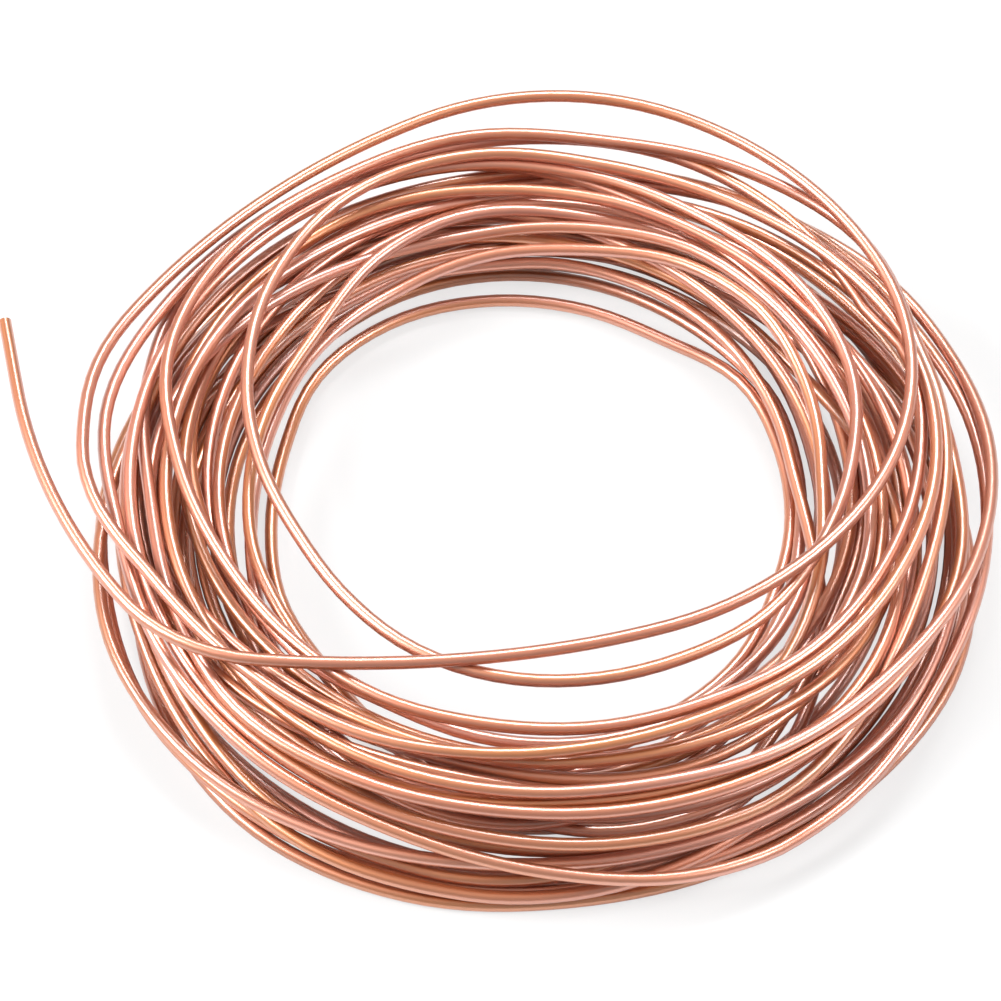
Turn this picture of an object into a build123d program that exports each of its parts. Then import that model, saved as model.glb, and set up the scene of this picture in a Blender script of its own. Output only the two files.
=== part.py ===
"""Coil of thin copper tube: one length, loosely wound and lying flat.

Millimetres. The origin is the centre of the coil on the surface that it lies on, and +Z is the
axis of the turns. The free end of the tube points out over the -X side.

The wound bundle is one turned solid with its eye. Each turn that lies on the outside of the
bundle shows as a ridge all the way round. The last turn has sprung loose: it leaves the bundle,
goes once round on top of it, and ends in the straight cut end of the tube.
"""

from build123d import *
import math
import os

os.makedirs("parts", exist_ok=True)

# Tube
tube_diameter = 3.0
tube_wall = 0.5
straight_end = 20.0

# Wound bundle
eye_diameter = 128.0
bundle_width = 36.0
bundle_height = 28.0
bundle_corner = 12.0
turns_in_skin = 24

# Last turn, loose on top of the bundle
turn_gap = 0.4
dive_radius = 12.0
dive_angle = 40.0
dive_run = 12.0
tube_flats = 12

# The cut end and the bends of the last turn, from that end inward. The place and the radii are
# in mean radii of the bundle, so that the loose turn keeps its form when the coil changes size.
cut_end_place = (-1.514, 0.470)
cut_end_heading = -77.5
bends = (
    (1.72, 26.0),
    (0.53, 46.0),
    (2.89, 22.0),
    (1.07, 36.0),
    (0.83, 62.0),
    (1.13, 40.0),
    (0.89, 52.0),
    (2.11, 30.0),
    (0.66, 50.0),
    (0.90, 24.0),
)

tube_radius = tube_diameter / 2
bore_radius = tube_radius - tube_wall
mean_radius = (eye_diameter + bundle_width) / 2
ride_height = bundle_height + turn_gap + tube_radius


def heading_vector(degrees):
    """Level direction at an angle from +X."""
    return Vector(math.cos(math.radians(degrees)), math.sin(math.radians(degrees)), 0)


def bundle_profile():
    """Section of the bundle: a rounded outline with one ridge for each turn in its skin."""
    centre = Vector(mean_radius, bundle_height / 2)
    outline = (Pos(centre) * RectangleRounded(bundle_width, bundle_height, bundle_corner)).wire()
    half_pitch = outline.length / (2 * turns_in_skin)
    points = []
    for i in range(2 * turns_in_skin):
        point = outline.position_at(i * half_pitch, position_mode=PositionMode.LENGTH)
        along = outline.tangent_at(i * half_pitch, position_mode=PositionMode.LENGTH)
        inward = Vector(-along.Y, along.X)
        if inward.dot(centre - point) < 0:
            inward = -inward
        is_groove = i % 2 == 1
        if is_groove:
            point += inward * tube_radius
        points.append((point.X, 0, point.Y))
    return make_face(Polyline(*points, close=True))


def wound_bundle():
    """The packed turns, turned about the axis of the coil."""
    return revolve(bundle_profile(), axis=Axis.Z)


def cut_end():
    """Centre of the cut end of the tube, and the direction from it into the tube."""
    place = Vector(*cut_end_place) * mean_radius
    return Vector(place.X, place.Y, ride_height), heading_vector(cut_end_heading)


def last_turn_path():
    """Line of the last turn, from the straight end to its foot inside the bundle."""
    place, direction = cut_end()
    point = place + direction * straight_end
    heading = cut_end_heading
    edges = []
    for radius, degrees in bends:
        arc = JernArc(point, heading_vector(heading), radius * mean_radius, degrees)
        edges.append(arc)
        point = arc @ 1
        heading += degrees
    level = heading_vector(heading)
    dive = math.radians(dive_angle)
    drop = Vector(0, 0, dive_radius * (1 - math.cos(dive)))
    foot_of_bend = point + level * (dive_radius * math.sin(dive)) - drop
    edges.append(TangentArc(point, foot_of_bend, tangent=level))
    slope = level * math.cos(dive) - Vector(0, 0, math.sin(dive))
    edges.append(Line(foot_of_bend, foot_of_bend + slope * dive_run))
    return Wire([edge.edge() for edge in edges])


def last_turn():
    """The loose turn as a tube with flats, solid inside."""
    path = last_turn_path()
    start = Plane(origin=path @ 0, x_dir=(0, 0, 1), z_dir=path % 0)
    return sweep(start * RegularPolygon(tube_radius, tube_flats), path=path)


def round_end(radius):
    """Round bar of the given radius over the straight end of the tube."""
    place, direction = cut_end()
    return extrude(Plane(origin=place, z_dir=direction) * Circle(radius), straight_end)


def copper_tube():
    """The whole length of tube as one solid, hollow at its cut end."""
    return wound_bundle() + last_turn() + round_end(tube_radius) - round_end(bore_radius)


export_step(copper_tube(), "parts/copper_tube.step")
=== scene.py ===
"""Coil of thin copper tube: the look of one length, loosely wound and lying flat.

Metres. The origin is the centre of the coil on the surface that it lies on, and +Z is the axis of
the turns. The tube is laid from its free end inward: the last turn first, loose on top, then the
turns whose course shows, joined by turns that wander by a rule. The lowest turns lie side by side
as a flat bed. The whole length then settles until its turns lie on each other and on the ground,
and a node tree draws the hollow tube along it.
"""

import logging
import math
from dataclasses import dataclass, field
from enum import Enum

import bpy
import numpy as np
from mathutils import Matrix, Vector


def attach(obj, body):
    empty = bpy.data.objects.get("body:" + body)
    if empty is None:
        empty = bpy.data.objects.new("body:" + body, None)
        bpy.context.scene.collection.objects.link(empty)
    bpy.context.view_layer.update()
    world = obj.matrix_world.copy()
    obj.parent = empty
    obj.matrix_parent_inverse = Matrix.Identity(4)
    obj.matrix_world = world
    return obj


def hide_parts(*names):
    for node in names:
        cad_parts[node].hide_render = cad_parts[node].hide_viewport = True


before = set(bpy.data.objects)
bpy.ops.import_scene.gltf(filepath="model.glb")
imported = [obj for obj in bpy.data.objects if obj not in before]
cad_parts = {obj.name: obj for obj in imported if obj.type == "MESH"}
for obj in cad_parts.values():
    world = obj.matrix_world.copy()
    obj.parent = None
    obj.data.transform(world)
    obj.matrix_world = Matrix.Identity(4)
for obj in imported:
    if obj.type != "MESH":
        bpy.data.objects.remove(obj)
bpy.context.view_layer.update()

Colour = tuple[float, float, float, float]
Triple = tuple[float, float, float]
Socket = bpy.types.NodeSocket
Inputs = dict[str | int, object]

MM = 0.001
TINY = 1e-9
WIDTHS_KEPT = 3
IMAGE_SIDE = 1001
NODE = "copper_tube"
BODY = "root"
LINE_ATTRIBUTE = "along_tube"
WHITE: Colour = (1.0, 1.0, 1.0, 1.0)

logging.basicConfig(level=logging.INFO, format="%(name)s: %(message)s")
log = logging.getLogger("copper_coil")


# Lines and angles


def through_knots(knots: np.ndarray, place: np.ndarray) -> np.ndarray:
    """Smooth line through evenly spaced knots.

    Args:
        knots: Values at places 0, 1, 2 and so on.
        place: Places at which the line is wanted.

    Returns:
        The value of the line at each place.
    """
    last = len(knots) - 1
    at = np.clip(place, 0, last - TINY)
    i = np.floor(at).astype(int)
    t = at - i
    a, b, c, d = (knots[np.clip(i + k, 0, last)] for k in (-1, 0, 1, 2))
    squared = (2 * a - 5 * b + 4 * c - d) * t**2
    cubed = (3 * b - a - 3 * c + d) * t**3
    return 0.5 * (2 * b + (c - a) * t + squared + cubed)


def eased(share: np.ndarray) -> np.ndarray:
    """Step from 0 to 1 with soft ends.

    Args:
        share: How far along the step each place lies, with 0 and 1 as its ends.

    Returns:
        The height of the step at each place.
    """
    t = np.clip(share, 0, 1)
    return t * t * (3 - 2 * t)


def turned_angle(points: np.ndarray) -> np.ndarray:
    """Angle about the axis of the coil, counted on through every turn.

    Args:
        points: Points as rows of x and y.

    Returns:
        The angle of each point in degrees, from the +X side.
    """
    return np.degrees(np.unwrap(np.arctan2(points[:, 1], points[:, 0])))


def spread_along(values: np.ndarray, reach: float) -> np.ndarray:
    """Spreads a push along the tube, as its stiffness does.

    Args:
        values: The push at each station.
        reach: Standard width of the spread, in stations.

    Returns:
        The spread push.
    """
    half = max(1, int(WIDTHS_KEPT * reach))
    weights = np.exp(-0.5 * (np.arange(-half, half + 1) / reach) ** 2)
    return np.convolve(np.pad(values, half, mode="edge"), weights / weights.sum(), mode="valid")


# Sizes of the tube and of the coil


@dataclass(frozen=True)
class TubeStock:
    """Section of the tube, its cut ends and how finely it is drawn, in metres."""

    diameter: float = 3.0 * MM
    wall: float = 0.5 * MM
    straight_end: float = 20.0 * MM
    bore_depth: float = 6.0 * MM
    burr: float = 0.12 * MM
    sides: int = 16
    station: float = 4.6 * MM

    @property
    def radius(self) -> float:
        """Outside radius."""
        return self.diameter / 2

    @property
    def bore_radius(self) -> float:
        """Radius of the passage."""
        return self.radius - self.wall


@dataclass(frozen=True)
class Bundle:
    """Space that the wound turns fill, in metres."""

    eye_diameter: float = 128.0 * MM
    width: float = 36.0 * MM
    height: float = 28.0 * MM
    turn_gap: float = 0.4 * MM

    @property
    def mean_radius(self) -> float:
        """Distance of the middle of the bundle from the axis."""
        return (self.eye_diameter + self.width) / 2


@dataclass(frozen=True)
class Bend:
    """One bend of the last turn: its radius in mean radii of the bundle, and its angle."""

    radius_share: float
    degrees: float


@dataclass(frozen=True)
class LastTurn:
    """The loose turn on top. Its places and radii are in mean radii of the bundle."""

    stock: TubeStock
    bundle: Bundle
    cut_end_place: tuple[float, float] = (-1.514, 0.470)
    cut_end_heading: float = -77.5
    bends: tuple[Bend, ...] = (
        Bend(1.72, 26.0),
        Bend(0.53, 46.0),
        Bend(2.89, 22.0),
        Bend(1.07, 36.0),
        Bend(0.83, 62.0),
        Bend(1.13, 40.0),
        Bend(0.89, 52.0),
        Bend(2.11, 30.0),
        Bend(0.66, 50.0),
        Bend(0.90, 24.0),
    )

    @property
    def height(self) -> float:
        """Height of its middle line."""
        return self.bundle.height + self.bundle.turn_gap + self.stock.radius

    def points(self, spacing: float) -> np.ndarray:
        """Line of the turn in plan, from the cut end inward.

        Args:
            spacing: Distance between points.

        Returns:
            Points as rows of x and y.
        """
        mean = self.bundle.mean_radius
        place = np.array(self.cut_end_place) * mean
        heading = math.radians(self.cut_end_heading)
        along = np.array([math.cos(heading), math.sin(heading)])
        count = math.ceil(self.stock.straight_end / spacing)
        points = [place + along * self.stock.straight_end * i / count for i in range(count + 1)]
        for bend in self.bends:
            radius = bend.radius_share * mean
            angle = math.radians(bend.degrees)
            centre = points[-1] + radius * np.array([-math.sin(heading), math.cos(heading)])
            count = math.ceil(radius * angle / spacing)
            for i in range(1, count + 1):
                turned = heading + angle * i / count
                points.append(centre + radius * np.array([math.sin(turned), -math.cos(turned)]))
            heading += angle
        return np.array(points)


@dataclass(frozen=True)
class LaidRun:
    """A given stretch: distance from the axis at even steps, and height at fewer ones.

    Its turn is counted inward from the last turn, and its start and its step are in degrees.
    """

    name: str
    turn: int
    start: float
    radii_mm: tuple[float, ...]
    heights_mm: tuple[float, ...]
    step: float = 20.0

    @property
    def first(self) -> float:
        """Angle at which the run starts, counted from the +X side of the last turn."""
        return 360.0 * self.turn + self.start

    @property
    def last(self) -> float:
        """Angle at which the run ends."""
        return self.first + self.step * (len(self.radii_mm) - 1)

    def at(self, angle: np.ndarray) -> tuple[np.ndarray, np.ndarray]:
        """Reads the run off at each station.

        Args:
            angle: Angle of each station.

        Returns:
            Distance from the axis and height at each station, in metres.
        """
        share = (angle - self.first) / (self.last - self.first)
        radius = through_knots(np.array(self.radii_mm), share * (len(self.radii_mm) - 1))
        height = np.interp(share, np.linspace(0, 1, len(self.heights_mm)), self.heights_mm)
        return radius * MM, height * MM


@dataclass(frozen=True)
class Wander:
    """How the free turns stray from an even coil, in metres.

    A play is the furthest that a value goes either way, from one knot to the next. The bundle as
    a whole leans, from its top turn to its foot.
    """

    sideways: float = 26.0 * MM
    forward: float = 8.0 * MM
    lean_top: float = 8.0 * MM
    lean_foot: float = -10.0 * MM
    radius_play: float = 2.5 * MM
    oval_play: float = 2.0 * MM
    height_play: float = 3.0 * MM
    spill: float = 1.0 * MM
    below_last_turn: float = 1.0 * MM
    knot_turns: float = 0.8
    spare_knots: int = 4


@dataclass(frozen=True)
class Bed:
    """The flat bed of the lowest turns, each inside the one before it."""

    first_turn: int = 23
    radii_mm: tuple[float, ...] = (97.0, 93.5, 90.0, 86.5, 83.0, 79.5, 76.0, 73.0, 71.0, 80.0)
    play: float = 1.5 * MM
    lean: float = 3.0 * MM


# Winding


@dataclass
class Course:
    """The line of the tube, station by station: angle in degrees, the rest in metres.

    The last array says how firmly each station was laid to a given course, from 0 to 1.
    """

    angle: np.ndarray
    radius: np.ndarray
    height: np.ndarray
    held: np.ndarray

    def lay(
        self,
        reach: tuple[float, float],
        fades: tuple[float, float],
        radius: np.ndarray,
        height: np.ndarray | float,
    ) -> None:
        """Lays a stretch over what is there.

        Args:
            reach: Angles at which the stretch starts and ends.
            fades: Angles over which the tube bends into it and out of it.
            radius: Distance from the axis at every station.
            height: Height of the stretch, at every station or all along.
        """
        first, last = reach
        bend_in, bend_out = fades
        begun = eased((self.angle - first) / bend_in + 1)
        share = begun * eased((last - self.angle) / bend_out + 1)
        self.radius = self.radius * (1 - share) + radius * share
        self.height = self.height * (1 - share) + height * share
        self.held = np.maximum(self.held, share)


@dataclass(frozen=True)
class TurnRows:
    """Puts the stations of a course in one row for each turn, by their place on it."""

    stations: int
    index: np.ndarray

    @property
    def count(self) -> int:
        """Number of rows."""
        return math.ceil((self.index[-1] + 1) / self.stations)

    def of(self, values: np.ndarray, fill: float) -> np.ndarray:
        """Sorts values into the rows.

        Args:
            values: A value for each station.
            fill: Value where a turn has no station.

        Returns:
            The rows.
        """
        full = np.full(self.count * self.stations, fill)
        full[self.index] = values
        return full.reshape(self.count, self.stations)

    def back(self, rows: np.ndarray) -> np.ndarray:
        """Values of the rows, station by station."""
        return rows.ravel()[self.index]


@dataclass(frozen=True)
class Contact:
    """Finds where turns cut into each other, and how each pair shares the push apart.

    The arrays hold a value for each pair of turns at each station: whether both are there, how
    square they run to a cut through the axis, and the first one's share of a push sideways and
    of a push upwards.
    """

    rows: TurnRows
    clear: float
    pairs: np.ndarray
    square: np.ndarray
    share_in: np.ndarray
    share_up: np.ndarray

    def pushes(self, course: Course) -> tuple[np.ndarray, np.ndarray, float]:
        """Works out how far each station is pushed by its neighbours.

        Args:
            course: The course as it lies.

        Returns:
            The push away from the axis and the push upwards at each station, and the deepest
            overlap.
        """
        radius = self.rows.of(course.radius, 0.0)
        height = self.rows.of(course.height, 0.0)
        apart_in = (radius[:, None] - radius[None]) * self.square
        apart_up = height[:, None] - height[None]
        apart = np.sqrt(apart_in**2 + apart_up**2) + TINY
        overlap = np.where(self.pairs, np.maximum(self.clear - apart, 0), 0)
        touching = np.sqrt(np.maximum((overlap > 0).sum(axis=1), 1))
        move_in = (overlap * apart_in / apart * self.share_in).sum(axis=1) / touching
        move_up = (overlap * apart_up / apart * self.share_up).sum(axis=1) / touching
        return self.rows.back(move_in), self.rows.back(move_up), float(overlap.max())


@dataclass(frozen=True)
class Stage:
    """One stage of settling: how far a push spreads, in stations, how often and how hard.

    In a sinking stage the turns also come down under their weight.
    """

    reach: float
    rounds: int
    push: float
    sinking: bool = True


@dataclass(frozen=True)
class Settling:
    """Lets the turns come to rest on each other and on the ground.

    The clearance is in diameters of the tube. Stretches laid to a given course hold their
    place sideways and in height, and the free turns give way to them.
    """

    stock: TubeStock
    stations: int
    clearance: float = 1.02
    hold_in: float = 0.97
    hold_up: float = 0.85
    weight: float = 0.004 * MM
    lift: float = 0.6
    stages: tuple[Stage, ...] = (
        Stage(8.0, 50, 1.0),
        Stage(5.0, 70, 1.3),
        Stage(3.0, 100, 1.6),
        Stage(1.5, 120, 1.6, sinking=False),
    )

    def settle(self, course: Course) -> None:
        """Moves the turns until none cuts into another or into the ground.

        Args:
            course: The laid course, which is changed in place.
        """
        contact = self.contact(course)
        deepest = 0.0
        for stage in self.stages:
            for _ in range(stage.rounds):
                move_in, move_up, deepest = contact.pushes(course)
                if stage.sinking:
                    move_up = move_up - self.weight * (1 - course.held)
                course.radius = course.radius + spread_along(move_in, stage.reach) * stage.push
                course.height = course.height + spread_along(move_up, stage.reach) * stage.push
                sunk = np.maximum(self.stock.radius - course.height, 0)
                raised = spread_along(sunk, stage.reach) * stage.push
                course.height += np.maximum(raised, sunk * self.lift)
        log.info("settled: deepest overlap %.3f mm", deepest / MM)

    def contact(self, course: Course) -> Contact:
        """Prepares the search for turns that touch.

        Args:
            course: The laid course.

        Returns:
            The search.
        """
        first = round(course.angle[0] * self.stations / 360.0)
        rows = TurnRows(self.stations, first + np.arange(len(course.angle)))
        there = rows.of(np.ones(len(course.angle)), 0.0) > 0
        slope = np.gradient(course.radius) * self.stations / (2 * math.pi * course.radius)
        square = rows.of(1 / np.sqrt(1 + slope**2), 1.0)
        give_in = rows.of(1 - self.hold_in * course.held, 1.0)
        give_up = rows.of(1 - self.hold_up * course.held, 1.0)
        return Contact(
            rows=rows,
            clear=self.stock.diameter * self.clearance,
            pairs=there[:, None] & there[None] & ~np.eye(rows.count, dtype=bool)[:, :, None],
            square=np.minimum(square[:, None], square[None]),
            share_in=give_in[:, None] / (give_in[:, None] + give_in[None]),
            share_up=give_up[:, None] / (give_up[:, None] + give_up[None]),
        )


@dataclass
class Winding:
    """The whole length of tube as it lies in the coil.

    Its second end is left off by a share of a turn, and its fades are in degrees.
    """

    stock: TubeStock
    bundle: Bundle
    laid_runs: tuple[LaidRun, ...]
    turns: int = 32
    left_off: float = 0.66
    stations: int = 96
    seed: int = 80
    fade: float = 35.0
    run_fade: float = 85.0
    wander: Wander = Wander()
    bed: Bed = Bed()

    @property
    def last_turn(self) -> LastTurn:
        """The loose turn on top."""
        return LastTurn(self.stock, self.bundle)

    def wandering(self, rng: np.random.Generator, angle: np.ndarray, play: float) -> np.ndarray:
        """A value that drifts up and down along the tube.

        Args:
            rng: Source of the random draws.
            angle: Angle of each station.
            play: Furthest that the value goes either way.

        Returns:
            The value at each station.
        """
        spacing = self.wander.knot_turns
        count = int(self.turns / spacing) + self.wander.spare_knots
        knots = rng.uniform(-play, play, count)
        return through_knots(knots, angle / (360.0 * spacing) + rng.uniform(0, 1))

    def wandered(self, rng: np.random.Generator, angle: np.ndarray) -> Course:
        """Course of free turns, from the top of the bundle down to its foot.

        Args:
            rng: Source of the random draws.
            angle: Angle of each station.

        Returns:
            The course.
        """
        wander = self.wander
        mean = self.bundle.mean_radius
        top = self.last_turn.height
        depth = (angle - angle[0]) / (360.0 * self.turns)
        turn = np.radians(angle)
        shift_x = self.wandering(rng, angle, wander.sideways)
        shift_y = self.wandering(rng, angle, wander.forward) + wander.lean_top
        shift_y += (wander.lean_foot - wander.lean_top) * depth
        radius = mean + self.wandering(rng, angle, wander.radius_play)
        radius += shift_x * np.cos(turn) + shift_y * np.sin(turn)
        radius += self.wandering(rng, angle, wander.oval_play) * np.cos(2 * turn)
        radius += self.wandering(rng, angle, wander.oval_play) * np.sin(2 * turn)
        room = self.bundle.width / 2 + wander.spill
        radius = mean + room * np.tanh((radius - mean) / room)
        height = top - wander.below_last_turn - (top - self.stock.diameter) * depth
        height += self.wandering(rng, angle, wander.height_play)
        return Course(angle, radius, height, np.zeros(len(angle)))

    def bed_down(self, rng: np.random.Generator, course: Course) -> None:
        """Lays the lowest turns side by side on the ground.

        Args:
            rng: Source of the random draws.
            course: The free turns, which are changed in place.
        """
        angle = course.angle
        place = angle / 360.0 - self.bed.first_turn
        radius = through_knots(np.array(self.bed.radii_mm) * MM, place)
        lean = self.bed.lean * np.sin(np.radians(angle))
        radius += self.wandering(rng, angle, self.bed.play) + lean
        in_bed = eased(place + 1)
        course.radius += (radius - course.radius) * in_bed
        course.height += (self.stock.radius - course.height) * in_bed

    def laid(self) -> Course:
        """Lays the tube, before it settles.

        Returns:
            Its course.
        """
        tail = self.last_turn.points(MM)
        tail_angle = turned_angle(tail)
        step = 360.0 / self.stations
        first = math.ceil(tail_angle[0] / step)
        count = int(self.stations * (self.turns - self.left_off))
        angle = np.arange(first, first + count) * step
        rng = np.random.default_rng(self.seed)
        course = self.wandered(rng, angle)
        self.bed_down(rng, course)
        runs = self.laid_runs
        gaps = [after.first - before.last for before, after in zip(runs, runs[1:])]
        fades = [self.fade, *(min(gap, self.run_fade) for gap in gaps), self.run_fade]
        for run, bend_in, bend_out in zip(runs, fades, fades[1:]):
            course.lay((run.first, run.last), (bend_in, bend_out), *run.at(angle))
        on_last_turn = np.interp(angle, tail_angle, np.hypot(tail[:, 0], tail[:, 1]))
        reach = (angle[0], tail_angle[-1] - self.fade)
        course.lay(reach, (self.fade, self.fade), on_last_turn, self.last_turn.height)
        return course

    def line(self) -> np.ndarray:
        """Winds the tube and lets it settle.

        Returns:
            Points of its line as rows of x, y and z, from the free end inward.
        """
        course = self.laid()
        Settling(self.stock, self.stations).settle(course)
        tail = self.last_turn.points(self.stock.station)
        tail_angle = turned_angle(tail)
        kept = tail_angle < tail_angle[-1] - 2 * self.fade
        tail_height = np.interp(tail_angle[kept], course.angle, course.height)
        start = np.column_stack([tail[kept], tail_height])
        rest = course.angle > tail_angle[kept][-1] + 180.0 / self.stations
        turn = np.radians(course.angle[rest])
        radius = course.radius[rest]
        wound = np.column_stack([radius * np.cos(turn), radius * np.sin(turn), course.height[rest]])
        return np.vstack([start, wound])


# Finishes


class Surface(Enum):
    """Surfaces of the tube that have a finish of their own."""

    OUTSIDE = "drawn_outside"
    CUT_FACE = "cut_face"
    BORE = "bore"


@dataclass(frozen=True)
class CopperFinish:
    """One finish of the copper: its tones, its texture and the clear film of oxide on it."""

    surface: Surface
    plain: Colour
    rosy: Colour
    amber: Colour
    dull: Colour
    roughness: float
    roughness_play: float
    mark_depth: float
    tarnish: float
    film: float = 0.0
    film_roughness: float = 0.28
    film_index: float = 2.4


OUTSIDE = CopperFinish(
    surface=Surface.OUTSIDE,
    plain=(0.62, 0.197, 0.09, 1.0),
    rosy=(0.70, 0.28, 0.185, 1.0),
    amber=(0.62, 0.197, 0.042, 1.0),
    dull=(0.17, 0.035, 0.014, 1.0),
    roughness=0.5,
    roughness_play=0.1,
    mark_depth=0.1,
    tarnish=0.5,
    film=1.0,
)
CUT_FACE = CopperFinish(
    surface=Surface.CUT_FACE,
    plain=(0.72, 0.36, 0.23, 1.0),
    rosy=(0.76, 0.42, 0.29, 1.0),
    amber=(0.68, 0.30, 0.16, 1.0),
    dull=(0.40, 0.18, 0.11, 1.0),
    roughness=0.38,
    roughness_play=0.18,
    mark_depth=0.5,
    tarnish=0.1,
)
BORE = CopperFinish(
    surface=Surface.BORE,
    plain=(0.38, 0.15, 0.08, 1.0),
    rosy=(0.42, 0.19, 0.11, 1.0),
    amber=(0.36, 0.13, 0.05, 1.0),
    dull=(0.14, 0.05, 0.025, 1.0),
    roughness=0.5,
    roughness_play=0.2,
    mark_depth=0.4,
    tarnish=0.7,
)


@dataclass(frozen=True)
class Grain:
    """Noise on the tube. Its scale is given twice for across the tube, then for along it."""

    scale: Triple
    detail: float
    roughness: float = 0.5


@dataclass(frozen=True)
class Drift:
    """Grain that is stretched to run from 0 to 1 between a low and a high value of it."""

    grain: Grain
    low: float
    high: float


ROSY_DRIFT = Drift(Grain((0.15, 0.15, 3.1), 2.0), 0.42, 0.62)
AMBER_DRIFT = Drift(Grain((0.2, 0.2, 4.7), 2.0), 0.46, 0.62)
TARNISH_PATCHES = Drift(Grain((0.5, 0.5, 9.0), 5.0), 0.45, 0.75)
DIE_LINES = Grain((7.0, 7.0, 14.0), 5.0, 0.7)


class NodeBench:
    """Places and joins the nodes of one tree."""

    spacing: int = 200

    def __init__(self, tree: bpy.types.NodeTree) -> None:
        """Keeps the tree and starts at its left end."""
        self.tree = tree
        self.column = 0

    def feed(self, target: Socket, given: object) -> None:
        """Gives an input a value, or joins it to a socket.

        Args:
            target: The input.
            given: A plain value or a socket.
        """
        if isinstance(given, Socket):
            self.tree.links.new(given, target)
        else:
            target.default_value = given

    def add(self, kind: str, inputs: Inputs | None = None, **settings: object) -> bpy.types.Node:
        """Adds a node.

        Args:
            kind: Type name of the node.
            inputs: A plain value or a socket for each input that is set, by its label, or by its
                place on the node where others have the same label.
            **settings: Values of its own properties.

        Returns:
            The node.
        """
        node = self.tree.nodes.new(kind)
        node.location = (self.column * self.spacing, 0)
        self.column += 1
        for name, value in settings.items():
            setattr(node, name, value)
        for label, given in (inputs or {}).items():
            self.feed(node.inputs[label], given)
        return node

    def value(self, operation: str, *inputs: object) -> Socket:
        """Adds a Math node.

        Args:
            operation: What it works out.
            *inputs: A number or a socket for each input.

        Returns:
            Its output.
        """
        node = self.add("ShaderNodeMath", dict(enumerate(inputs)), operation=operation)
        return node.outputs["Value"]

    def grain(self, along: Socket, grain: Grain) -> Socket:
        """Adds noise on the tube.

        Args:
            along: Place on the tube.
            grain: The noise.

        Returns:
            Its value.
        """
        place = self.add("ShaderNodeMapping", {"Vector": along, "Scale": grain.scale})
        noise = {
            "Vector": place.outputs["Vector"],
            "Scale": 1.0,
            "Detail": grain.detail,
            "Roughness": grain.roughness,
        }
        return self.add("ShaderNodeTexNoise", noise).outputs["Fac"]

    def drift(self, along: Socket, drift: Drift) -> Socket:
        """Adds noise that is stretched to fill 0 to 1.

        Args:
            along: Place on the tube.
            drift: The noise and its limits.

        Returns:
            Its value.
        """
        grain = self.grain(along, drift.grain)
        limits = {"Value": grain, "From Min": drift.low, "From Max": drift.high}
        return self.add("ShaderNodeMapRange", limits).outputs["Result"]

    def blend(self, factor: Socket, first: Socket, second: Socket) -> Socket:
        """Mixes two colours.

        Args:
            factor: Share of the second colour.
            first: The first colour.
            second: The second colour.

        Returns:
            The mixed colour.
        """
        inputs = {"Factor": factor, 6: first, 7: second}
        return self.add("ShaderNodeMix", inputs, data_type="RGBA").outputs[2]


def new_group(
    name: str, inputs: dict[str, str], outputs: dict[str, str]
) -> tuple[NodeBench, dict[str, Socket], dict[str, Socket]]:
    """Starts a shader node group.

    Args:
        name: Name of the group.
        inputs: Socket type of each input by name.
        outputs: Socket type of each output by name.

    Returns:
        A bench on the group, its input sockets by name and its output sockets by name.
    """
    tree = bpy.data.node_groups.new(name, "ShaderNodeTree")
    for side, sockets in (("INPUT", inputs), ("OUTPUT", outputs)):
        for label, kind in sockets.items():
            tree.interface.new_socket(name=label, in_out=side, socket_type=kind)
    bench = NodeBench(tree)
    start = bench.add("NodeGroupInput")
    end = bench.add("NodeGroupOutput")
    return bench, {s.name: s for s in start.outputs}, {s.name: s for s in end.inputs}


def copper_tone_group() -> bpy.types.NodeTree:
    """Makes the group that drifts between the tones of copper, with patches of tarnish.

    Returns:
        The group.
    """
    bench, given, result = new_group(
        "copper_tone",
        {
            "Along": "NodeSocketVector",
            "Plain": "NodeSocketColor",
            "Rosy": "NodeSocketColor",
            "Amber": "NodeSocketColor",
            "Dull": "NodeSocketColor",
            "Tarnish": "NodeSocketFloat",
        },
        {"Color": "NodeSocketColor", "Tarnish": "NodeSocketFloat"},
    )
    along = given["Along"]
    rosy = bench.blend(bench.drift(along, ROSY_DRIFT), given["Plain"], given["Rosy"])
    amber = bench.blend(bench.drift(along, AMBER_DRIFT), rosy, given["Amber"])
    mask = bench.value("MULTIPLY", bench.drift(along, TARNISH_PATCHES), given["Tarnish"])
    bench.feed(result["Color"], bench.blend(mask, amber, given["Dull"]))
    bench.feed(result["Tarnish"], mask)
    return bench.tree


def drawing_marks_group() -> bpy.types.NodeTree:
    """Makes the group that runs fine lines along the tube, as the drawing die leaves them.

    Returns:
        The group.
    """
    bench, given, result = new_group(
        "drawing_marks",
        {"Along": "NodeSocketVector", "Roughness": "NodeSocketFloat", "Play": "NodeSocketFloat"},
        {"Roughness": "NodeSocketFloat", "Height": "NodeSocketFloat"},
    )
    lines = bench.grain(given["Along"], DIE_LINES)
    centred = bench.value("SUBTRACT", lines, 0.5)
    change = bench.value("MULTIPLY", centred, given["Play"])
    doubled = bench.value("MULTIPLY", change, 2.0)
    bench.feed(result["Roughness"], bench.value("ADD", given["Roughness"], doubled))
    bench.feed(result["Height"], lines)
    return bench.tree


def new_material(name: str) -> tuple[bpy.types.Material, NodeBench]:
    """Starts a material with an empty tree.

    Args:
        name: Name of the material.

    Returns:
        The material and a bench on its tree.
    """
    made = bpy.data.materials.new(name)
    made.use_nodes = True
    made.node_tree.nodes.clear()
    return made, NodeBench(made.node_tree)


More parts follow.
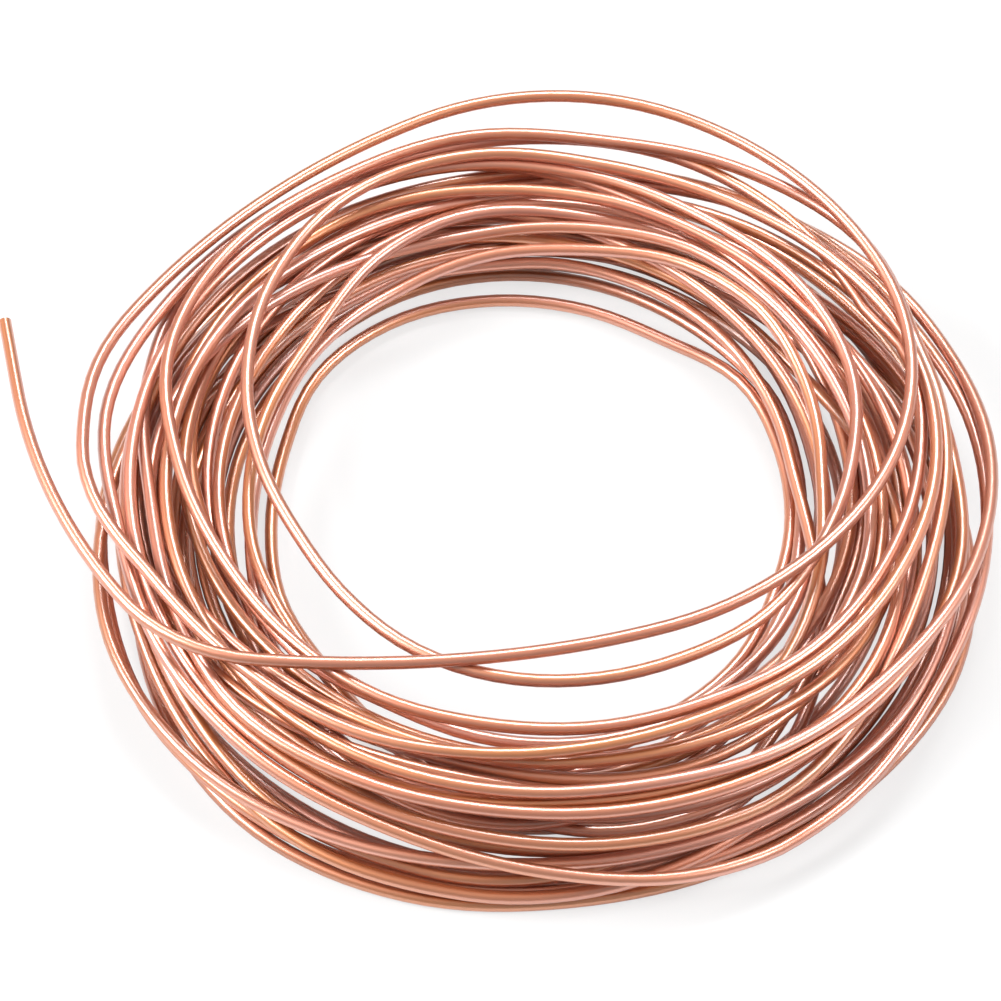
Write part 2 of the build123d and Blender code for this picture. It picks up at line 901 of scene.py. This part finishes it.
@dataclass
class CopperWorks:
    """Makes the materials of the tube."""

    tone: bpy.types.NodeTree = field(default_factory=copper_tone_group)
    marks: bpy.types.NodeTree = field(default_factory=drawing_marks_group)
    mark_height: float = 0.02 * MM
    tarnish_roughness: float = 0.3

    def material(self, finish: CopperFinish) -> bpy.types.Material:
        """Makes the material of one finish.

        Args:
            finish: The finish.

        Returns:
            The material.
        """
        made, bench = new_material("copper_" + finish.surface.value)
        along = bench.add("ShaderNodeAttribute", attribute_name=LINE_ATTRIBUTE).outputs["Vector"]
        tones = {
            "Along": along,
            "Plain": finish.plain,
            "Rosy": finish.rosy,
            "Amber": finish.amber,
            "Dull": finish.dull,
            "Tarnish": finish.tarnish,
        }
        texture = {
            "Along": along,
            "Roughness": finish.roughness,
            "Play": finish.roughness_play,
        }
        tone = bench.add("ShaderNodeGroup", node_tree=self.tone)
        marks = bench.add("ShaderNodeGroup", node_tree=self.marks)
        for group, inputs in ((tone, tones), (marks, texture)):
            for label, given in inputs.items():
                bench.feed(group.inputs[label], given)
        rougher = bench.value("MULTIPLY", tone.outputs["Tarnish"], self.tarnish_roughness)
        bump = {
            "Strength": finish.mark_depth,
            "Distance": self.mark_height,
            "Height": marks.outputs["Height"],
        }
        metal = {
            "Metallic": 1.0,
            "Base Color": tone.outputs["Color"],
            "Roughness": bench.value("ADD", marks.outputs["Roughness"], rougher),
            "Normal": bench.add("ShaderNodeBump", bump).outputs["Normal"],
            "Coat Weight": finish.film,
            "Coat Roughness": finish.film_roughness,
            "Coat IOR": finish.film_index,
        }
        shader = bench.add("ShaderNodeBsdfPrincipled", metal).outputs["BSDF"]
        bench.add("ShaderNodeOutputMaterial", {"Surface": shader})
        return made


# Tube


@dataclass
class TubeDrawer:
    """Node tree that draws the hollow tube along a line.

    A face of the swept tube with more corners than its walls have is one of its caps.
    """

    wall_corners: int = 4

    def tree(self) -> bpy.types.NodeTree:
        """Builds the tree, with one named input for each size and finish.

        Returns:
            The tree.
        """
        tree = bpy.data.node_groups.new("tube_along_line", "GeometryNodeTree")
        tree.is_modifier = True
        line = {"Geometry": "NodeSocketGeometry"}
        inputs = line | {
            "Tube Radius": "NodeSocketFloat",
            "Bore Radius": "NodeSocketFloat",
            "Bore Depth": "NodeSocketFloat",
            "Burr": "NodeSocketFloat",
            "Sides": "NodeSocketInt",
            "Station Length": "NodeSocketFloat",
            "Outside": "NodeSocketMaterial",
            "Cut Face": "NodeSocketMaterial",
            "Bore": "NodeSocketMaterial",
        }
        for side, sockets in (("INPUT", inputs), ("OUTPUT", line)):
            for label, kind in sockets.items():
                tree.interface.new_socket(name=label, in_out=side, socket_type=kind)
        bench = NodeBench(tree)
        given = bench.add("NodeGroupInput").outputs
        tube, rim, bore = self.cut_ends(bench, given, self.skin(bench, given))
        tube = bench.add("GeometryNodeRealizeInstances", {"Geometry": tube}).outputs["Geometry"]
        for label, selection in (("Outside", True), ("Cut Face", rim), ("Bore", bore)):
            dress = {"Geometry": tube, "Material": given[label], "Selection": selection}
            tube = bench.add("GeometryNodeSetMaterial", dress).outputs["Geometry"]
        bench.add("NodeGroupOutput", {"Geometry": tube})
        return tree

    def measured(self, bench: NodeBench, curve: Socket, measure: str) -> tuple[Socket, Socket]:
        """Notes how far along a curve each of its points lies.

        Args:
            bench: Bench on the tree.
            curve: The curve.
            measure: Length or Factor.

        Returns:
            The curve and the measure.
        """
        noted = bench.add("GeometryNodeCaptureAttribute", {"Geometry": curve}, domain="POINT")
        noted.capture_items.new("FLOAT", measure)
        spline = bench.add("GeometryNodeSplineParameter")
        bench.feed(noted.inputs[measure], spline.outputs[measure])
        return noted.outputs["Geometry"], noted.outputs[measure]

    def skin(self, bench: NodeBench, given: bpy.types.NodeOutputs) -> Socket:
        """Sweeps the outside of the tube and marks each point with its place on it.

        Args:
            bench: Bench on the tree.
            given: The tree's inputs.

        Returns:
            The swept mesh, closed at both ends.
        """
        rounded = bench.add(
            "GeometryNodeCurveSplineType", {"Curve": given["Geometry"]}, spline_type="CATMULL_ROM"
        )
        even = bench.add(
            "GeometryNodeResampleCurve",
            {"Curve": rounded.outputs["Curve"], "Length": given["Station Length"]},
            mode="LENGTH",
        )
        circle = bench.add(
            "GeometryNodeCurvePrimitiveCircle",
            {"Resolution": given["Sides"], "Radius": given["Tube Radius"]},
            mode="RADIUS",
        )
        course, along = self.measured(bench, even.outputs["Curve"], "Length")
        profile, around = self.measured(bench, circle.outputs["Curve"], "Factor")
        sweep = bench.add(
            "GeometryNodeCurveToMesh",
            {"Curve": course, "Profile Curve": profile, "Fill Caps": True},
        )
        turned = bench.value("MULTIPLY", around, 2 * math.pi)
        across, up = bench.value("COSINE", turned), bench.value("SINE", turned)
        place = bench.add("ShaderNodeCombineXYZ", {"X": across, "Y": up, "Z": along})
        marked = bench.add(
            "GeometryNodeStoreNamedAttribute",
            {
                "Geometry": sweep.outputs["Mesh"],
                "Name": LINE_ATTRIBUTE,
                "Value": place.outputs["Vector"],
            },
            data_type="FLOAT_VECTOR",
            domain="POINT",
        )
        return marked.outputs["Geometry"]

    def stepped(
        self, bench: NodeBench, tube: Socket, cap: Socket, depth: object, scale: object
    ) -> tuple[Socket, bpy.types.NodeOutputs]:
        """Pushes the caps of the tube out by a depth and scales them.

        Args:
            bench: Bench on the tree.
            tube: The tube.
            cap: Selection of its caps.
            depth: A number or a socket. Below 0 it goes into the tube.
            scale: A number or a socket.

        Returns:
            The tube, and the outputs that select the new Top and Side faces.
        """
        extrude = bench.add(
            "GeometryNodeExtrudeMesh",
            {"Mesh": tube, "Selection": cap, "Offset Scale": depth, "Individual": True},
            mode="FACES",
        )
        narrow = bench.add(
            "GeometryNodeScaleElements",
            {
                "Geometry": extrude.outputs["Mesh"],
                "Selection": extrude.outputs["Top"],
                "Scale": scale,
            },
            domain="FACE",
        )
        return narrow.outputs["Geometry"], extrude.outputs

    def cut_ends(
        self, bench: NodeBench, given: bpy.types.NodeOutputs, skin: Socket
    ) -> tuple[Socket, Socket, Socket]:
        """Opens both ends: a rounded burr, the cut face of the wall, and the bore.

        Args:
            bench: Bench on the tree.
            given: The tree's inputs.
            skin: The closed tube.

        Returns:
            The hollow tube, the selection of its cut faces and the selection of its bores.
        """
        corners = bench.add("GeometryNodeInputMeshFaceNeighbors").outputs["Vertex Count"]
        cap = bench.add(
            "FunctionNodeCompare",
            {2: corners, 3: self.wall_corners},
            data_type="INT",
            operation="GREATER_THAN",
        )
        smooth = bench.add("GeometryNodeSetShadeSmooth", {"Geometry": skin}, domain="FACE")
        outer = bench.value("SUBTRACT", given["Tube Radius"], given["Burr"])
        burr_scale = bench.value("DIVIDE", outer, given["Tube Radius"])
        wall_scale = bench.value("DIVIDE", given["Bore Radius"], outer)
        inward = bench.value("MULTIPLY", given["Bore Depth"], -1.0)
        tube = smooth.outputs["Geometry"]
        tube, burr = self.stepped(bench, tube, cap.outputs["Result"], given["Burr"], burr_scale)
        tube, rim = self.stepped(bench, tube, burr["Top"], 0.0, wall_scale)
        tube, bore = self.stepped(bench, tube, rim["Top"], inward, 1.0)
        faceted = bench.add(
            "GeometryNodeSetShadeSmooth",
            {"Geometry": tube, "Selection": rim["Side"], "Shade Smooth": False},
            domain="FACE",
        )
        inside = bench.add(
            "FunctionNodeBooleanMath", {0: bore["Side"], 1: bore["Top"]}, operation="OR"
        )
        return faceted.outputs["Geometry"], rim["Side"], inside.outputs["Boolean"]


@dataclass
class TubeCoil:
    """The copper tube coil: one length of tube."""

    winding: Winding
    works: CopperWorks
    name: str = "copper_tube_coil"

    def build(self) -> bpy.types.Object:
        """Lays the line and draws the tube along it.

        Returns:
            The finished piece.
        """
        line = self.winding.line()
        length = float(np.linalg.norm(np.diff(line, axis=0), axis=1).sum())
        log.info("line: %d points, %.2f m", len(line), length)
        piece = self.drawn(self.line_object(line))
        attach(piece, BODY)
        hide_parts(NODE)
        log.info("%s: %d faces", piece.name, len(piece.data.polygons))
        return piece

    def line_object(self, line: np.ndarray) -> bpy.types.Object:
        """Makes a curve object along the line.

        Args:
            line: Points as rows of x, y and z.

        Returns:
            The object.
        """
        curve = bpy.data.curves.new("tube_line", "CURVE")
        curve.dimensions = "3D"
        spline = curve.splines.new("POLY")
        spline.points.add(len(line) - 1)
        spline.points.foreach_set("co", np.column_stack([line, np.ones(len(line))]).ravel())
        made = bpy.data.objects.new("tube_line", curve)
        bpy.context.scene.collection.objects.link(made)
        return made

    def drawn(self, line: bpy.types.Object) -> bpy.types.Object:
        """Draws the tube along the line as a plain mesh.

        Args:
            line: The curve object, which is removed afterwards.

        Returns:
            The mesh object.
        """
        stock = self.winding.stock
        values = {
            "Tube Radius": stock.radius,
            "Bore Radius": stock.bore_radius,
            "Bore Depth": stock.bore_depth,
            "Burr": stock.burr,
            "Sides": stock.sides,
            "Station Length": stock.station,
            "Outside": self.works.material(OUTSIDE),
            "Cut Face": self.works.material(CUT_FACE),
            "Bore": self.works.material(BORE),
        }
        tree = TubeDrawer().tree()
        modifier = line.modifiers.new("tube", "NODES")
        modifier.node_group = tree
        for item in tree.interface.items_tree:
            if item.item_type == "SOCKET" and item.in_out == "INPUT" and item.name in values:
                modifier[item.identifier] = values[item.name]
        graph = bpy.context.evaluated_depsgraph_get()
        mesh = bpy.data.meshes.new_from_object(line.evaluated_get(graph), depsgraph=graph)
        line.modifiers.remove(modifier)
        bpy.data.objects.remove(line)
        mesh.name = self.name
        piece = bpy.data.objects.new(self.name, mesh)
        bpy.context.scene.collection.objects.link(piece)
        return piece


# Studio


@dataclass(frozen=True)
class SoftLight:
    """A square soft lamp that looks at the coil: metres and watts."""

    name: str
    place: Triple
    side: float
    power: float


@dataclass(frozen=True)
class SeenWhite:
    """Share of plain white in what rays see: straight from the camera, or off the metal."""

    straight: float
    mirrored: float

    def mixed(self, bench: NodeBench, lit: Socket, white: Socket) -> Socket:
        """Mixes plain white into a lit shader, by the kind of ray that sees it.

        Args:
            bench: Bench on the tree.
            lit: The shader that takes the light of the scene.
            white: The plain white one.

        Returns:
            The mixed shader.
        """
        path = bench.add("ShaderNodeLightPath").outputs
        shiny = bench.value("MAXIMUM", path["Is Glossy Ray"], path["Is Transmission Ray"])
        mirrored = bench.value("MULTIPLY", shiny, self.mirrored)
        straight = bench.value("MULTIPLY", path["Is Camera Ray"], self.straight)
        share = bench.value("MAXIMUM", straight, mirrored)
        return bench.add("ShaderNodeMixShader", {"Fac": share, 1: lit, 2: white}).outputs["Shader"]


@dataclass
class Studio:
    """Floor, light and camera. The focal length and the coil's place are in pixels."""

    bundle: Bundle
    elevation: float = 56.0
    distance: float = 850.0 * MM
    focal_pixels: float = 3683.0
    coil_pixel: tuple[float, float] = (538.0, 497.0)
    sensor: float = 36.0
    lamps: tuple[SoftLight, ...] = (
        SoftLight("key_lamp", (-1.05, -0.1, 0.95), 0.65, 24.0),
        SoftLight("fill_lamp", (0.95, -0.2, 0.95), 0.5, 10.5),
        SoftLight("back_lamp", (0.1, 0.75, 1.25), 0.5, 13.0),
    )
    sky_strength: float = 0.13
    sky_white: SeenWhite = SeenWhite(1.0, 0.25)
    floor_side: float = 6.0
    floor_colour: Colour = (0.8, 0.8, 0.8, 1.0)
    floor_white: SeenWhite = SeenWhite(0.7, 0.1)

    def camera(self) -> None:
        """Sets the camera at the viewing angle of the photograph."""
        tilt = math.radians(self.elevation)
        up = Vector((0.0, math.sin(tilt), math.cos(tilt)))
        view = Vector((0.0, math.cos(tilt), -math.sin(tilt)))
        centre = Vector((0.0, 0.0, self.bundle.height / 2))
        metres_per_pixel = self.distance / self.focal_pixels
        right_of_middle = (self.coil_pixel[0] - IMAGE_SIDE / 2) * metres_per_pixel
        below_middle = (self.coil_pixel[1] - IMAGE_SIDE / 2) * metres_per_pixel
        target = centre - Vector((right_of_middle, 0.0, 0.0)) + up * below_middle
        lens = bpy.data.cameras.new("camera")
        lens.sensor_fit = "HORIZONTAL"
        lens.sensor_width = self.sensor
        lens.lens = self.sensor * self.focal_pixels / IMAGE_SIDE
        made = bpy.data.objects.new("camera", lens)
        made.location = target - view * self.distance
        made.rotation_euler = (math.pi / 2 - tilt, 0.0, 0.0)
        bpy.context.scene.collection.objects.link(made)
        bpy.context.scene.camera = made

    def lights(self) -> None:
        """Hangs the lamps."""
        for lamp in self.lamps:
            light = bpy.data.lights.new(lamp.name, "AREA")
            light.shape = "SQUARE"
            light.size = lamp.side
            light.energy = lamp.power
            made = bpy.data.objects.new(lamp.name, light)
            made.location = lamp.place
            made.rotation_euler = (-Vector(lamp.place)).to_track_quat("-Z", "Y").to_euler()
            bpy.context.scene.collection.objects.link(made)

    def sky(self) -> None:
        """Lights the scene evenly and shows a white background."""
        world = bpy.data.worlds.new("studio")
        world.use_nodes = True
        world.node_tree.nodes.clear()
        bench = NodeBench(world.node_tree)
        lit, plain = (
            bench.add("ShaderNodeBackground", {"Color": WHITE, "Strength": strength})
            for strength in (self.sky_strength, 1.0)
        )
        seen = self.sky_white.mixed(bench, lit.outputs["Background"], plain.outputs["Background"])
        bench.add("ShaderNodeOutputWorld", {"Surface": seen})
        bpy.context.scene.world = world

    def paper(self) -> bpy.types.Material:
        """Makes the white of the floor, which keeps a light shadow.

        Returns:
            The material.
        """
        made, bench = new_material("floor_paper")
        matt = bench.add("ShaderNodeBsdfDiffuse", {"Color": self.floor_colour})
        plain = bench.add("ShaderNodeEmission", {"Color": WHITE, "Strength": 1.0})
        seen = self.floor_white.mixed(bench, matt.outputs["BSDF"], plain.outputs["Emission"])
        bench.add("ShaderNodeOutputMaterial", {"Surface": seen})
        return made

    def floor(self) -> None:
        """Lays the floor."""
        half = self.floor_side / 2
        corners = [(-half, -half, 0.0), (half, -half, 0.0), (half, half, 0.0), (-half, half, 0.0)]
        mesh = bpy.data.meshes.new("floor")
        mesh.from_pydata(corners, [], [(0, 1, 2, 3)])
        mesh.materials.append(self.paper())
        made = bpy.data.objects.new("floor", mesh)
        bpy.context.scene.collection.objects.link(made)

    def build(self) -> None:
        """Sets up the whole studio."""
        bpy.context.scene.view_settings.view_transform = "Standard"
        self.camera()
        self.lights()
        self.sky()
        self.floor()
        log.info("studio: %d lamps", len(self.lamps))


# Turns whose course shows, from the top of the coil down

LAID_RUNS = (
    LaidRun(
        "slack loop across the eye", 1, 180.0,
        (
            104, 92, 85.5, 82, 78, 76, 77, 81.5, 86, 90.5, 92.5, 90.5, 88, 87.6, 90.5, 89, 81, 71.5,
            63.4, 57.8, 56.4, 57, 57.6, 58.7, 60.8, 64.5, 67, 71.3, 77, 80, 81.6, 85.5, 90, 92.5,
            93, 93, 93, 93, 93.5, 93, 93, 94.5, 95.7,
        ),
        (29, 29, 29, 29, 29, 29, 26.5, 25, 17),
    ),
    LaidRun(
        "third loose turn", 4, 20.0,
        (
            92.8, 99.4, 98.3, 95.4, 96.8, 95, 94.6, 91, 82, 75.4, 72.4, 71.3, 69.9, 70.8, 73, 78,
            82.5, 88, 93,
        ),
        (28, 28),
    ),
    LaidRun(
        "fourth turn, down to the near edge", 5, 30.0,
        (
            91, 95, 98, 97.5, 96.5, 97, 98.5, 100.5, 95.5, 95.5, 95, 94.5, 97.5, 102.5, 103.5, 102,
            103.5, 103.5, 100,
        ),
        (27, 26, 26, 26, 25, 17.5, 9, 13.5, 19),
    ),
    LaidRun(
        "middle of the far side", 6, 315.0,
        (89, 88, 85, 81.5, 78.5, 77.5, 79, 82.5, 87, 88.5, 88, 86.5, 86),
        (18, 21.5, 25, 21, 20.5),
    ),
    LaidRun(
        "broad band of the near side", 8, 145.0,
        (100, 94.5, 89, 90, 92.5, 90.5, 89, 90, 92.5, 95, 97.5, 96),
        (22, 25, 24.5, 23, 18.5),
    ),
    LaidRun(
        "near side to the right edge", 9, 205.0,
        (85, 85.5, 85.5, 85, 86, 90.5, 94.5, 100.5, 104, 103.5),
        (23.5, 26, 26, 24.5, 17.5),
    ),
    LaidRun(
        "pale turn on the right", 10, 340.0,
        (77.5, 75.5, 73.5, 73.5, 74.5, 73.5, 73.5),
        (22, 24, 24, 21),
    ),
    LaidRun("near side, inner band", 11, 265.0, (76.5, 78, 81.5, 84, 84), (24, 25, 20)),
    LaidRun(
        "inner bow of the far side", 13, 0.0,
        (64.5, 66.5, 69, 69.5, 67, 67.5, 67, 66.5, 65.5),
        (23, 26, 22, 16, 16),
    ),
    LaidRun(
        "bright turn of the far side", 14, 60.0,
        (77.5, 76.5, 77, 73.5, 67, 66, 66.5, 68),
        (22, 23.5, 20, 21),
    ),
    LaidRun(
        "second band of the near side", 15, 235.0,
        (87.5, 86.5, 86, 88.5, 91.5),
        (21.5, 23, 21.5),
    ),
    LaidRun("edge of the near eye", 16, 220.0, (71, 68.5, 70, 71), (20, 21.5, 22)),
    LaidRun("far left slope", 17, 95.0, (81, 79, 76.5, 74.5, 73.5, 72.5), (21, 17.5, 18.5)),
    LaidRun("left outer fan, upper", 18, 195.0, (94.5, 96.5, 99.5, 98.5), (17, 11.5, 7.5)),
    LaidRun(
        "left outer fan, middle", 19, 205.0,
        (103.5, 102, 98, 95, 95, 97, 99),
        (11, 9.5, 11, 11.5),
    ),
    LaidRun("left outer fan, lower", 20, 200.0, (96.5, 98.5, 100.5, 99), (12.5, 7.5, 5)),
    LaidRun("far edge of the eye", 22, 10.0, (60, 62.5, 66, 69, 71.5), (11, 11)),
    LaidRun(
        "low outer turn", 24, 190.0,
        (101.5, 103, 101.5, 99.5, 98, 97.5, 99, 100.5),
        (7, 3.5, 3, 4),
    ),
    LaidRun("lowest outer turn", 25, 235.0, (101.5, 100, 97.5, 98, 100, 102.5), (1.5, 1.5, 2)),
    LaidRun("third inner turn on the right", 27, 305.0, (62.6, 63.4, 64, 66), (7, 7)),
    LaidRun("second inner turn on the right", 28, 335.0, (61.5, 61, 62.8, 66), (5, 5)),
    LaidRun(
        "innermost turn, round the right, far and left sides", 29, 300.0,
        (60, 59.3, 57.9, 59.2, 61.2, 63.8, 61.5, 63.5, 66, 68, 67.5, 63.4, 62.1, 62.9, 63, 67),
        (3, 3),
    ),
)


def main() -> None:
    """Builds the coil and the studio."""
    stock = TubeStock()
    bundle = Bundle()
    TubeCoil(Winding(stock, bundle, LAID_RUNS), CopperWorks()).build()
    Studio(bundle).build()


if __name__ == "__main__":
    main()
